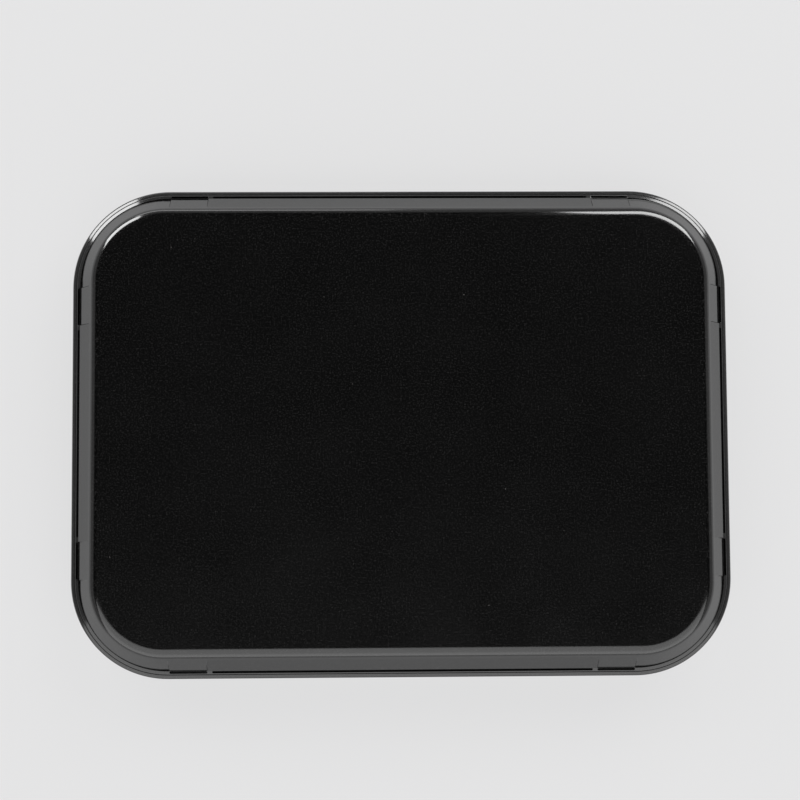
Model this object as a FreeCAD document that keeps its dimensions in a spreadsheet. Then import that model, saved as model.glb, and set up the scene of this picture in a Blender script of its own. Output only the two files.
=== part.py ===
import FreeCAD
import Part
import Sketcher

import math
import os
import re

# A hobby wet palette, closed and lying on its four rubber feet.
# +X runs along its length, +Y across it and +Z up, and the origin is on the table under its middle.
# A tray holds a wet sponge with a painting sheet on it, and a lid closes on a soft ring round the tray's rim.

# Driving sizes in millimetres, with angles in degrees: name, value, meaning.
DRIVING_SIZES = (
    ("outer_length", 240, "lid from end to end"),
    ("outer_width", 178, "lid from front to back"),
    ("corner_radius", 35.5, "corner of the lid seen from above"),
    ("parting_gap", 0.3, "seam between the lid's rim and the tray's rim"),
    ("lid_rim", 3, "thickness of the lid's rim"),
    ("lid_wall", 1.8, "thickness of the lid's sloping wall"),
    ("lid_top", 2, "thickness of the lid's flat top"),
    ("rim_width", 3.5, "width of the rim outside the crown at a corner"),
    ("rim_slope", 62, "slope of the rim's and the bead's faces from upright"),
    ("rim_face", 1.45, "width of the rim's sloping face"),
    ("rim_edge", 1.2, "rounding between the rim's upright side and its sloping face"),
    ("seam_bevel", 0.3, "bevel of both rims at the seam between them"),
    ("crown_height", 9, "crown's top above the rim"),
    ("crown_draft", 32, "slope of the crown's wall from upright"),
    ("crown_corner", 1, "how much tighter the crown's corner radius is than the rim's there"),
    ("crown_radius", 4.5, "rounding of the crown's top edge"),
    ("ceiling_radius", 2.6, "rounding inside the crown"),
    ("rebate_depth", 1.6, "step under the rim that takes the soft ring"),
    ("rim_lip", 1.65, "rim outside its bead"),
    ("bead_width", 1.3, "width of the bead that runs round the rim"),
    ("groove_width", 0.85, "width of the grooves and windows behind the bead's crest"),
    ("groove_depth", 1.25, "depth of the long grooves below the crown's foot"),
    ("bead_height", 0.4, "upright outer side of the bead"),
    ("bead_round", 0.5, "rounding of the bead's outer edge"),
    ("window_length", 13.5, "length of a window in the rim"),
    ("window_setback", 0.5, "window's end from the start of the corner's curve"),
    ("window_bridge", 1.8, "rim left between a window and the long groove"),
    ("window_web", 0.5, "wall between a window and the step for the soft ring"),
    ("window_pad", 0.25, "wall thickening behind a window, at its foot"),
    ("pad_rise", 5.6, "height at which the side thickenings run out"),
    ("tray_height", 16.1, "tray's underside to its sealing face"),
    ("tray_rim", 3, "thickness of the tray's rim"),
    ("tray_setback", 0.4, "tray's edge inside the lid's edge"),
    ("tray_edge", 0.7, "rounding of the tray rim's lower edge"),
    ("tray_wall", 2.2, "thickness of the tray's wall"),
    ("tray_floor", 2.4, "thickness of the tray's floor"),
    ("tray_draft", 15, "slope of the tray's wall from upright"),
    ("tray_radius", 6, "rounding of the tray's lower edge"),
    ("well_radius", 4, "rounding between the tray's wall and floor"),
    ("lip_height", 1.4, "sealing lip above the tray's rim"),
    ("lip_thickness", 1.2, "sealing lip at its top"),
    ("tongue_height", 2.4, "tongue above the tray's rim"),
    ("tongue_clearance", 0.2, "room round a tongue in its window"),
    ("seal_width", 1.4, "width of the soft ring"),
    ("seal_bevel", 0.45, "bevel of the soft ring's top edges"),
    ("seal_clearance", 0.3, "room between the soft ring and the lid's step"),
    ("seat_clearance", 0.05, "room between the soft ring and the sealing lip"),
    ("foam_thickness", 6, "sponge"),
    ("foam_clearance", 1.45, "sponge's edge to the curve at the floor's edge"),
    ("sheet_thickness", 0.2, "painting sheet"),
    ("foot_diameter", 12, "rubber foot"),
    ("foot_proud", 1.6, "foot below the tray"),
    ("foot_recess", 1, "foot sunk into the tray's floor"),
    ("foot_clearance", 0.15, "room round a foot in its recess"),
    ("foot_bevel", 0.6, "bevel of a foot's lower edge"),
    ("foot_inset", 30, "centre of a foot from the two nearest edges of the lid"),
)

# Heights above the table, as formulas of the sizes.
TRAY_TOP = "(foot_proud + tray_height)"
TRAY_SHOULDER = f"({TRAY_TOP} - tray_rim)"
FLOOR_TOP = "(foot_proud + tray_floor)"
LID_FOOT = f"({TRAY_TOP} + parting_gap)"
RIM_TOP = f"({LID_FOOT} + lid_rim)"
LID_TOP = f"({RIM_TOP} + crown_height)"
CEILING = f"({LID_TOP} - lid_top)"
BEAD_SHOULDER = f"({RIM_TOP} - bead_width / tan(rim_slope))"
RIM_SHOULDER = f"({BEAD_SHOULDER} - bead_height)"
RIM_SIDE = f"({RIM_SHOULDER} - rim_face / tan(rim_slope))"

# Insets from the lid's outer edge, as formulas of the sizes.
BEAD_INSIDE = "(rim_lip + bead_width)"
REBATE_INSET = f"({BEAD_INSIDE} + window_web)"
SEAL_OUTSIDE = f"({REBATE_INSET} + seal_clearance)"
SEAL_INSIDE = f"({SEAL_OUTSIDE} + seal_width)"
LIP_OUTSIDE = f"({SEAL_INSIDE} + seat_clearance)"
WELL_MOUTH = f"({LIP_OUTSIDE} + lip_thickness)"
WELL_DEPTH = "(lip_height + tray_height - tray_floor)"
WELL_FLOOR = f"({WELL_MOUTH} + {WELL_DEPTH} * tan(tray_draft))"
TRAY_WAIST = f"({WELL_MOUTH} + (lip_height + tray_rim) * tan(tray_draft) - tray_wall / cos(tray_draft))"
TRAY_SOLE = f"({TRAY_WAIST} + (tray_height - tray_rim) * tan(tray_draft))"
FOAM_INSET = f"({WELL_FLOOR} + well_radius * tan(45 - tray_draft / 2) + foam_clearance)"
CROWN_EDGE = "(rim_width + crown_height * tan(crown_draft))"
CAVITY_MOUTH = "(rim_width + (rebate_depth - lid_rim) * tan(crown_draft) + lid_wall / cos(crown_draft))"
CAVITY_RISE = "(lid_rim + crown_height - lid_top - rebate_depth)"
CAVITY_EDGE = f"({CAVITY_MOUTH} + {CAVITY_RISE} * tan(crown_draft))"
SIDE_PAD = f"(rim_width - {BEAD_INSIDE})"

# The two kinds of side: how long each is, the span across to the opposite side, how far a drawing of the
# side is turned about the upright axis, the plane that cuts across it and the plane that mirrors it.
LONG_SIDE = ("outer_length", "outer_width", 0, "YZ_Plane", "XZ_Plane")
SHORT_SIDE = ("outer_width", "outer_length", 90, "XZ_Plane", "YZ_Plane")
SIDES = (LONG_SIDE, SHORT_SIDE)
BOTH_MIRRORS = ("XZ_Plane", "YZ_Plane")

FEET = (
    ("foot_front_left", -1, -1),
    ("foot_front_right", 1, -1),
    ("foot_back_left", -1, 1),
    ("foot_back_right", 1, 1),
)

SAME_PLACE = 0.01


def make_size_table(document):
    """Write the driving sizes into a sheet, one named cell each."""
    sheet = document.addObject("Spreadsheet::Sheet", "Sizes")
    for row, (name, value, meaning) in enumerate(DRIVING_SIZES, start=1):
        sheet.set(f"A{row}", meaning)
        sheet.set(f"B{row}", str(value))
        sheet.setAlias(f"B{row}", name)
    document.recompute()


def sized(formula):
    """Turn a formula of size names, which all hold an underscore, into an expression on the sheet."""
    return re.sub(r"[a-z]+(?:_[a-z]+)+", lambda name: "Sizes." + name.group(0), formula)


def value_of(thing, formula):
    """Give a formula's present value as a number."""
    result = thing.evalExpression(sized(formula))
    return float(getattr(result, "Value", result))


def new_body(document, label):
    body = document.addObject("PartDesign::Body", label)
    body.Label = label
    return body


def origin_plane(body, role):
    return next(plane for plane in body.Origin.OriginFeatures if plane.Role == role)


def new_sketch(body, name, role, out="0", up="0", turn=0):
    """Start a sketch on a plane of the body, moved out from the plane and, on an upright plane, in it."""
    sketch = body.newObject("Sketcher::SketchObject", name)
    sketch.AttachmentSupport = (origin_plane(body, role), [""])
    sketch.MapMode = "FlatFace"
    turned = FreeCAD.Rotation(FreeCAD.Vector(0, 0, 1), turn)
    sketch.AttachmentOffset = FreeCAD.Placement(FreeCAD.Vector(), turned)
    if role == "XY_Plane":
        sketch.setExpression("AttachmentOffset.Base.z", sized(up))
    else:
        sketch.setExpression("AttachmentOffset.Base.x", sized(out))
        sketch.setExpression("AttachmentOffset.Base.y", sized(up))
    return sketch


def bind(sketch, name, formula, kind, *places):
    """Add a named dimension to a sketch and tie it to a formula."""
    index = sketch.addConstraint(Sketcher.Constraint(kind, *places, value_of(sketch, formula)))
    sketch.renameConstraint(index, name)
    sketch.setExpression(f"Constraints.{name}", sized(formula))


def join_tangent(sketch, first, count):
    """Join a closed chain of lines and arcs end to end, each running smoothly into the next."""
    for step in range(count):
        here = first + step
        following = first + (step + 1) % count
        sketch.addConstraint(Sketcher.Constraint("Tangent", here, 2, following, 1))


def add_outline(sketch, name, inset, tighter="0"):
    """Draw the lid's outline, moved inwards: a centred rectangle with round corners, tighter if asked."""
    length = f"outer_length - 2 * {inset}"
    width = f"outer_width - 2 * {inset}"
    radius = f"corner_radius - {inset} - {tighter}"
    half_length = value_of(sketch, length) / 2
    half_width = value_of(sketch, width) / 2
    corner = value_of(sketch, radius)
    first = sketch.GeometryCount
    quarter = math.pi / 2
    for step in range(4):
        turn = FreeCAD.Rotation(FreeCAD.Vector(0, 0, 1), 90 * step)
        reach, across = (half_length, half_width) if step % 2 == 0 else (half_width, half_length)
        start = turn.multVec(FreeCAD.Vector(corner - reach, -across, 0))
        end = turn.multVec(FreeCAD.Vector(reach - corner, -across, 0))
        centre = turn.multVec(FreeCAD.Vector(reach - corner, corner - across, 0))
        circle = Part.Circle(centre, FreeCAD.Vector(0, 0, 1), corner)
        sketch.addGeometry(Part.LineSegment(start, end))
        sketch.addGeometry(Part.ArcOfCircle(circle, (step - 1) * quarter, step * quarter))
    join_tangent(sketch, first, 8)
    front, front_corner, right, right_corner, back, back_corner, left, left_corner = range(first, first + 8)
    for line in (front, back):
        sketch.addConstraint(Sketcher.Constraint("Horizontal", line))
    for line in (right, left):
        sketch.addConstraint(Sketcher.Constraint("Vertical", line))
    for arc in (right_corner, back_corner, left_corner):
        sketch.addConstraint(Sketcher.Constraint("Equal", front_corner, arc))
    sketch.addConstraint(Sketcher.Constraint("Symmetric", front_corner, 3, back_corner, 3, -1, 1))
    bind(sketch, f"{name}_length", length, "DistanceX", left, 1, right, 1)
    bind(sketch, f"{name}_width", width, "DistanceY", front, 1, back, 1)
    bind(sketch, f"{name}_radius", radius, "Radius", front_corner)


def outline_sketch(body, name, height, *insets):
    """Draw one or two nested outlines at a height."""
    sketch = new_sketch(body, name, "XY_Plane", up=height)
    for label, inset in zip(("outer", "inner"), insets):
        add_outline(sketch, label, inset)
    return sketch


def add_slot(sketch, start, end, across, width):
    """Draw a round-ended slot along the sketch's own X, from start to end at a distance across."""
    first = sketch.GeometryCount
    radius = value_of(sketch, width) / 2
    low = value_of(sketch, start) + radius
    high = value_of(sketch, end) - radius
    middle = value_of(sketch, across)
    upright = FreeCAD.Vector(0, 0, 1)
    right_end = Part.Circle(FreeCAD.Vector(high, middle, 0), upright, radius)
    left_end = Part.Circle(FreeCAD.Vector(low, middle, 0), upright, radius)
    near = middle - radius
    far = middle + radius
    sketch.addGeometry(Part.LineSegment(FreeCAD.Vector(low, near, 0), FreeCAD.Vector(high, near, 0)))
    sketch.addGeometry(Part.ArcOfCircle(right_end, -math.pi / 2, math.pi / 2))
    sketch.addGeometry(Part.LineSegment(FreeCAD.Vector(high, far, 0), FreeCAD.Vector(low, far, 0)))
    sketch.addGeometry(Part.ArcOfCircle(left_end, math.pi / 2, 3 * math.pi / 2))
    join_tangent(sketch, first, 4)
    line, right_arc, _, left_arc = range(first, first + 4)
    sketch.addConstraint(Sketcher.Constraint("Equal", right_arc, left_arc))
    bind(sketch, "half_width", f"({width}) / 2", "Radius", right_arc)
    bind(sketch, "across", across, "DistanceY", -1, 1, right_arc, 3)
    bind(sketch, "end", f"{end} - ({width}) / 2", "DistanceX", -1, 1, right_arc, 3)
    if low < 0:
        sketch.addConstraint(Sketcher.Constraint("Symmetric", left_arc, 3, right_arc, 3, -2))
    else:
        sketch.addConstraint(Sketcher.Constraint("Horizontal", line))
        bind(sketch, "start", f"{start} + ({width}) / 2", "DistanceX", -1, 1, left_arc, 3)


def window_span(side_length, clearance="0"):
    """Give where a window starts and ends along its side, drawn in by a clearance."""
    end = f"({side_length} / 2 - corner_radius - window_setback - {clearance})"
    start = f"({side_length} / 2 - corner_radius - window_setback - window_length + {clearance})"
    return start, end


def rim_slot_centre(side_span):
    """Give how far the middle line of a side's windows and groove is from the palette's middle."""
    return f"({side_span} / 2 - {BEAD_INSIDE} + groove_width / 2)"


def pad(body, name, sketch, length, draft=None, downwards=False, both_ways=False):
    """Raise a sketch into a solid, drawn in by a draft angle as it goes."""
    feature = body.newObject("PartDesign::Pad", name)
    feature.Profile = sketch
    feature.Reversed = downwards
    if both_ways:
        feature.SideType = "Symmetric"
    feature.setExpression("Length", sized(length))
    if draft:
        feature.setExpression("TaperAngle", sized(f"-{draft}"))
    body.Document.recompute()
    return feature


def pocket(body, name, sketch, depth, draft=None, upwards=False):
    """Cut a sketch into the solid, drawn in by a draft angle as it goes."""
    before = body.Shape.Volume
    feature = body.newObject("PartDesign::Pocket", name)
    feature.Profile = sketch
    feature.Reversed = upwards
    feature.setExpression("Length", sized(depth))
    if draft:
        feature.setExpression("TaperAngle", sized(f"-{draft}"))
    body.Document.recompute()
    if body.Shape.Volume >= before:
        raise RuntimeError(f"{body.Label}: {name} cuts nothing")
    return feature


def mirror(body, name, originals, roles):
    """Repeat features on the other side of one or two upright planes."""
    feature = body.newObject("PartDesign::MultiTransform", name)
    feature.Originals = originals
    steps = []
    for role in roles:
        step = body.newObject("PartDesign::Mirrored", f"{name}_{role[:2]}")
        step.MirrorPlane = (origin_plane(body, role), [""])
        steps.append(step)
    feature.Transformations = steps
    body.Tip = feature
    body.Document.recompute()
    return feature


def inset_of(body, point):
    """Tell how far a point lies inside the lid's outline, seen from above."""
    corner = value_of(body, "corner_radius")
    along = abs(point.x) - value_of(body, "outer_length / 2") + corner
    across = abs(point.y) - value_of(body, "outer_width / 2") + corner
    if along > 0 and across > 0:
        return corner - math.hypot(along, across)
    return corner - max(along, across)


def outline_edges(body, height, inset):
    """Name the level edges that run round the palette at a height and an inset."""
    level = value_of(body, height)
    depth = value_of(body, inset)
    names = []
    for number, edge in enumerate(body.Tip.Shape.Edges, start=1):
        middle = edge.valueAt((edge.FirstParameter + edge.LastParameter) / 2)
        at_level = abs(middle.z - level) < SAME_PLACE
        if at_level and abs(inset_of(body, middle) - depth) < SAME_PLACE:
            names.append(f"Edge{number}")
    return names


def round_edges(body, name, radius, edges):
    """Round edges of the solid made so far."""
    base = body.Tip
    feature = body.newObject("PartDesign::Fillet", name)
    feature.Base = (base, edges)
    feature.setExpression("Radius", sized(radius))
    body.Document.recompute()


def bevel_edges(body, name, size, edges):
    """Bevel edges of the solid made so far."""
    base = body.Tip
    feature = body.newObject("PartDesign::Chamfer", name)
    feature.Base = (base, edges)
    feature.setExpression("Size", sized(size))
    body.Document.recompute()


def add_side_pad(body, name, side, thickness, length):
    """Thicken a side's sloping wall at its foot with a wedge that runs out up the wall."""
    _, span, _, cut, opposite = side
    foot = f"{span} / 2 - rim_width"
    sketch = new_sketch(body, f"{name}_section", cut, out=foot, up=RIM_TOP)
    reach = value_of(sketch, thickness)
    rise = value_of(sketch, "pad_rise + lid_wall / 2")
    slope = f"(pad_rise * tan(crown_draft) + {thickness}) / pad_rise"
    run = f"(pad_rise + lid_wall / 2) * {slope} - {thickness}"
    back = value_of(sketch, run)
    heel = FreeCAD.Vector(-back, 0, 0)
    toe = FreeCAD.Vector(reach, 0, 0)
    crest = FreeCAD.Vector(-back, rise, 0)
    for start, end in ((heel, toe), (toe, crest), (crest, heel)):
        sketch.addGeometry(Part.LineSegment(start, end))
    for here, following in ((0, 1), (1, 2), (2, 0)):
        sketch.addConstraint(Sketcher.Constraint("Coincident", here, 2, following, 1))
    sketch.addConstraint(Sketcher.Constraint("PointOnObject", 0, 1, -1))
    sketch.addConstraint(Sketcher.Constraint("PointOnObject", 0, 2, -1))
    sketch.addConstraint(Sketcher.Constraint("Vertical", 2))
    bind(sketch, "thickness", thickness, "DistanceX", -1, 1, 0, 2)
    bind(sketch, "run", run, "DistanceX", 0, 1, -1, 1)
    bind(sketch, "rise", "pad_rise + lid_wall / 2", "DistanceY", 2, 2, 2, 1)
    wedge = pad(body, name, sketch, length, both_ways=True)
    mirror(body, f"{name}_opposite", [wedge], (opposite,))


def make_lid(document):
    """Mould the lid: rim with a bead round it, crown, side grooves and windows, hollow underneath."""
    body = new_body(document, "lid")
    pad(body, "rim", outline_sketch(body, "rim_outline", LID_FOOT, "0"), f"{RIM_SIDE} - {LID_FOOT}")
    rim_face = outline_sketch(body, "rim_face_outline", RIM_SIDE, "0")
    pad(body, "rim_face", rim_face, f"{RIM_SHOULDER} - {RIM_SIDE}", draft="rim_slope")
    round_edges(body, "rim_rounding", "rim_edge", outline_edges(body, RIM_SIDE, "0"))
    bevel_edges(body, "seam_edge", "seam_bevel", outline_edges(body, LID_FOOT, "0"))
    pad(body, "bead", outline_sketch(body, "bead_outline", RIM_SHOULDER, "rim_lip"), "bead_height")
    bead_face = outline_sketch(body, "bead_face_outline", BEAD_SHOULDER, "rim_lip")
    pad(body, "bead_face", bead_face, f"{RIM_TOP} - {BEAD_SHOULDER}", draft="rim_slope")
    round_edges(body, "bead_rounding", "bead_round", outline_edges(body, BEAD_SHOULDER, "rim_lip"))
    crown = new_sketch(body, "crown_outline", "XY_Plane", up=RIM_TOP)
    add_outline(crown, "outer", "rim_width", tighter="crown_corner")
    pad(body, "crown", crown, "crown_height", draft="crown_draft")
    round_edges(body, "crown_rounding", "crown_radius", outline_edges(body, LID_TOP, CROWN_EDGE))
    for label, side in zip(("long", "short"), SIDES):
        length, span, turn, _, opposite = side
        window_start, window_end = window_span(length)
        add_side_pad(body, f"{label}_window_pad", side, "window_pad", f"2 * {window_end}")
        add_side_pad(body, f"{label}_side_pad", side, SIDE_PAD, f"2 * {window_start}")
        groove = new_sketch(body, f"{label}_groove_outline", "XY_Plane", up=RIM_TOP, turn=turn)
        groove_end = f"({window_start} - window_bridge)"
        add_slot(groove, f"-{groove_end}", groove_end, rim_slot_centre(span), "groove_width")
        cut = pocket(body, f"{label}_groove", groove, "groove_depth")
        mirror(body, f"{label}_groove_opposite", [cut], (opposite,))
        window = new_sketch(body, f"{label}_window_outline", "XY_Plane", up=RIM_TOP, turn=turn)
        add_slot(window, window_start, window_end, rim_slot_centre(span), "groove_width")
        cut = pocket(body, f"{label}_window", window, "lid_rim")
        mirror(body, f"{label}_windows", [cut], BOTH_MIRRORS)
    rebate = outline_sketch(body, "rebate_outline", LID_FOOT, REBATE_INSET)
    pocket(body, "rebate", rebate, "rebate_depth", upwards=True)
    cavity = outline_sketch(body, "cavity_outline", f"({LID_FOOT} + rebate_depth)", CAVITY_MOUTH)
    pocket(body, "cavity", cavity, CAVITY_RISE, draft="crown_draft", upwards=True)
    round_edges(body, "ceiling_rounding", "ceiling_radius", outline_edges(body, CEILING, CAVITY_EDGE))
    return body


def make_tray(document):
    """Mould the tray: rim, drafted bowl, sealing lip, tongues and the recesses for the feet."""
    body = new_body(document, "tray")
    pad(body, "rim", outline_sketch(body, "rim_outline", TRAY_SHOULDER, "tray_setback"), "tray_rim")
    round_edges(body, "rim_rounding", "tray_edge", outline_edges(body, TRAY_SHOULDER, "tray_setback"))
    bevel_edges(body, "seam_edge", "seam_bevel", outline_edges(body, TRAY_TOP, "tray_setback"))
    bowl = outline_sketch(body, "bowl_outline", TRAY_SHOULDER, TRAY_WAIST)
    pad(body, "bowl", bowl, "tray_height - tray_rim", draft="tray_draft", downwards=True)
    round_edges(body, "bowl_rounding", "tray_radius", outline_edges(body, "foot_proud", TRAY_SOLE))
    pad(body, "lip", outline_sketch(body, "lip_outline", TRAY_TOP, LIP_OUTSIDE), "lip_height")
    well = outline_sketch(body, "well_outline", f"({TRAY_TOP} + lip_height)", WELL_MOUTH)
    pocket(body, "well", well, WELL_DEPTH, draft="tray_draft")
    round_edges(body, "well_rounding", "well_radius", outline_edges(body, FLOOR_TOP, WELL_FLOOR))
    for label, (length, span, turn, _, _) in zip(("long", "short"), SIDES):
        tongue = new_sketch(body, f"{label}_tongue_outline", "XY_Plane", up=TRAY_TOP, turn=turn)
        start, end = window_span(length, "tongue_clearance")
        add_slot(tongue, start, end, rim_slot_centre(span), "groove_width - 2 * tongue_clearance")
        raised = pad(body, f"{label}_tongue", tongue, "tongue_height")
        mirror(body, f"{label}_tongues", [raised], BOTH_MIRRORS)
    recess = new_sketch(body, "foot_recess_outline", "XY_Plane", up="foot_proud")
    add_circle(recess, "foot_diameter / 2 + foot_clearance")
    cut = pocket(body, "foot_recess", recess, "foot_recess", upwards=True)
    mirror(body, "foot_recesses", [cut], BOTH_MIRRORS)
    return body


def add_circle(sketch, radius):
    """Draw the circle of the foot at the back right corner."""
    along = "outer_length / 2 - foot_inset"
    across = "outer_width / 2 - foot_inset"
    centre = FreeCAD.Vector(value_of(sketch, along), value_of(sketch, across), 0)
    circle = Part.Circle(centre, FreeCAD.Vector(0, 0, 1), value_of(sketch, radius))
    index = sketch.addGeometry(circle)
    bind(sketch, "along", along, "DistanceX", -1, 1, index, 3)
    bind(sketch, "across", across, "DistanceY", -1, 1, index, 3)
    bind(sketch, "radius", radius, "Radius", index)


def make_seal(document):
    """Make the soft ring that stands on the tray's rim, round the lip, and meets the lid's step."""
    body = new_body(document, "seal_ring")
    ring = outline_sketch(body, "ring_outline", TRAY_TOP, SEAL_OUTSIDE, SEAL_INSIDE)
    pad(body, "ring", ring, "parting_gap + rebate_depth")
    top = f"({LID_FOOT} + rebate_depth)"
    top_edges = outline_edges(body, top, SEAL_OUTSIDE) + outline_edges(body, top, SEAL_INSIDE)
    bevel_edges(body, "ring_crest", "seal_bevel", top_edges)
    return body


def make_foam(document):
    """Cut the sponge that lies on the flat of the tray's floor."""
    body = new_body(document, "hydration_foam")
    pad(body, "slab", outline_sketch(body, "slab_outline", FLOOR_TOP, FOAM_INSET), "foam_thickness")
    return body


def make_painting_sheet(document):
    """Cut the painting sheet that lies on the sponge, to the sponge's own outline."""
    body = new_body(document, "membrane_sheet")
    height = f"({FLOOR_TOP} + foam_thickness)"
    pad(body, "sheet", outline_sketch(body, "sheet_outline", height, FOAM_INSET), "sheet_thickness")
    return body


def make_foot(document, label, along, across):
    """Turn one rubber foot about its own axis and put it in its corner of the tray."""
    body = new_body(document, label)
    sketch = new_sketch(body, f"{label}_profile", "XZ_Plane")
    radius = value_of(sketch, "foot_diameter / 2")
    height = value_of(sketch, "foot_proud + foot_recess")
    corners = [(0, 0), (radius, 0), (radius, height), (0, height)]
    points = [FreeCAD.Vector(x, y, 0) for x, y in corners]
    for start, end in zip(points, points[1:] + points[:1]):
        sketch.addGeometry(Part.LineSegment(start, end))
    for here in range(4):
        sketch.addConstraint(Sketcher.Constraint("Coincident", here, 2, (here + 1) % 4, 1))
    for line in (0, 2):
        sketch.addConstraint(Sketcher.Constraint("Horizontal", line))
    for line in (1, 3):
        sketch.addConstraint(Sketcher.Constraint("Vertical", line))
    sketch.addConstraint(Sketcher.Constraint("Coincident", 0, 1, -1, 1))
    bind(sketch, "radius", "foot_diameter / 2", "DistanceX", -1, 1, 0, 2)
    bind(sketch, "height", "foot_proud + foot_recess", "DistanceY", 0, 2, 1, 2)
    turned = body.newObject("PartDesign::Revolution", f"{label}_disc")
    turned.Profile = sketch
    turned.ReferenceAxis = (sketch, ["V_Axis"])
    turned.Angle = 360
    document.recompute()
    edges = []
    for number, edge in enumerate(turned.Shape.Edges, start=1):
        if abs(edge.BoundBox.ZMax) < SAME_PLACE and edge.Closed:
            edges.append(f"Edge{number}")
    bevel_edges(body, f"{label}_edge", "foot_bevel", edges)
    body.setExpression("Placement.Base.x", sized(f"{along} * (outer_length / 2 - foot_inset)"))
    body.setExpression("Placement.Base.y", sized(f"{across} * (outer_width / 2 - foot_inset)"))
    document.recompute()
    return body


def check(document, bodies):
    """Stop if any object of the document failed or any sub-part is not a sound solid."""
    for thing in document.Objects:
        if "Invalid" in thing.State or "Error" in thing.State:
            raise RuntimeError(f"{thing.Label} failed: {thing.State}")
    for body in bodies:
        if body.Shape.isNull() or not body.Shape.isValid():
            raise RuntimeError(f"{body.Label} has no valid shape")
        if len(body.Shape.Solids) != 1:
            raise RuntimeError(f"{body.Label} is {len(body.Shape.Solids)} solids")


def main():
    document = FreeCAD.newDocument("wet_palette")
    make_size_table(document)
    makers = (make_tray, make_lid, make_seal, make_foam, make_painting_sheet)
    bodies = [make(document) for make in makers]
    bodies += [make_foot(document, label, along, across) for label, along, across in FEET]
    document.recompute()
    check(document, bodies)
    os.makedirs("parts", exist_ok=True)
    for body in bodies:
        body.Shape.exportStep(f"parts/{body.Label}.step")
        box = body.Shape.optimalBoundingBox(False)
        print(f"{body.Label}: {box.XLength:.2f} x {box.YLength:.2f} x {box.ZLength:.2f} mm,"
              f" from z {box.ZMin:.2f}, {body.Shape.Volume / 1000:.2f} cm3")


main()
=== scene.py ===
# %% [markdown]
# # A wet palette, closed
# A wet palette keeps paint moist. A shallow tray holds a soaked sponge with a painting sheet on it, and
# a glossy black lid closes over both on a soft ring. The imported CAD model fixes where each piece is,
# and this lesson gives the pieces their real surfaces, in metres, in the same frame.

import math

import bmesh
import bpy
from mathutils import Matrix, Vector, noise


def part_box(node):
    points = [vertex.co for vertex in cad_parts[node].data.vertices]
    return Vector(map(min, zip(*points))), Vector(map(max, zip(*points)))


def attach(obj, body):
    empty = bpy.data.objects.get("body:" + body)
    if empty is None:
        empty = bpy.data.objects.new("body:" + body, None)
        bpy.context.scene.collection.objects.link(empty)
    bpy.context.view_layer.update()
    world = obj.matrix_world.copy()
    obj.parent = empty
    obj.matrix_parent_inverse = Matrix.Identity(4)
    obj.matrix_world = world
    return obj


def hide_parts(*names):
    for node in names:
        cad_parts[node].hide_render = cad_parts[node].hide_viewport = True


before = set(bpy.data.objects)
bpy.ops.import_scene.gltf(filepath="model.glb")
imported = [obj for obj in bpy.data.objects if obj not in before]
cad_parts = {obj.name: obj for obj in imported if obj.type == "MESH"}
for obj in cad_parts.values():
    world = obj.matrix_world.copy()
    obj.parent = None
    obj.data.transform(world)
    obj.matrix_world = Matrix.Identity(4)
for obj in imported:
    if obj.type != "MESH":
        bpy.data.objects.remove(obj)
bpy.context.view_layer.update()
scene = bpy.context.scene
MM = 0.001
print("CAD nodes:", ", ".join(sorted(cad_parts)))

# %% [markdown]
# ## The camera
# The photograph looks almost straight down on the lid, from a little towards the near long side, so the
# far wall of the crown shows narrower than the near one. A camera can be aimed with a Track To
# constraint, but looking nearly straight down that leaves its roll to chance. Here its three axes are
# worked out instead.

# %% Camera
CAMERA_TILT = math.radians(4.37)
CAMERA_YAW = math.radians(1.28)
CAMERA_ROLL = math.radians(-0.26)
CAMERA_DISTANCE = 650 * MM
CAMERA_LENS = 80.0
CAMERA_NEAREST = 10 * MM
CAMERA_AIM = Vector((-0.42 * MM, 11.61 * MM, 20 * MM))


def photograph_camera():
    """Set the camera above the lid, leaning towards the near side and to the left."""
    across = -math.sin(CAMERA_YAW)
    along = -math.sin(CAMERA_TILT)
    back = Vector((across, along, math.sqrt(1 - across ** 2 - along ** 2)))
    right = Vector((1, 0, 0))
    right = (right - right.dot(back) * back).normalized()
    up = back.cross(right)
    turned = Matrix((right, up, back)).transposed() @ Matrix.Rotation(CAMERA_ROLL, 3, "Z")
    data = bpy.data.cameras.new("camera")
    data.lens = CAMERA_LENS
    data.clip_start = CAMERA_NEAREST
    camera = bpy.data.objects.new("camera", data)
    camera.matrix_world = Matrix.Translation(CAMERA_AIM + CAMERA_DISTANCE * back) @ turned.to_4x4()
    scene.collection.objects.link(camera)
    scene.camera = camera


photograph_camera()
print("camera at", [round(place / MM) for place in scene.camera.matrix_world.translation], "mm")

# %% [markdown]
# ## One outline for everything
# Each moulded edge of the palette follows the same outline, a rectangle with round corners, set in by
# more or less. One could place rings of points by hand and join them with faces. It is easier to bevel
# the corners of one flat face and give it thickness. Straight cuts add points along its sides, where
# details will start and end.

# %% Outline
lid_low, lid_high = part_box("lid")
HALF_LENGTH = lid_high.x
HALF_WIDTH = lid_high.y
CORNER_RADIUS = 35.5 * MM
CORNER_STEPS = 30
LENGTHWISE = Vector((1, 0, 0))
CROSSWISE = Vector((0, 1, 0))


def cut_across(bm, place, normal, clear_outer=False):
    """Cut everything by a plane through a place, and drop what lies beyond the plane if asked."""
    everything = bm.verts[:] + bm.edges[:] + bm.faces[:]
    bmesh.ops.bisect_plane(bm, geom=everything, plane_co=place, plane_no=normal, clear_outer=clear_outer)


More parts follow.
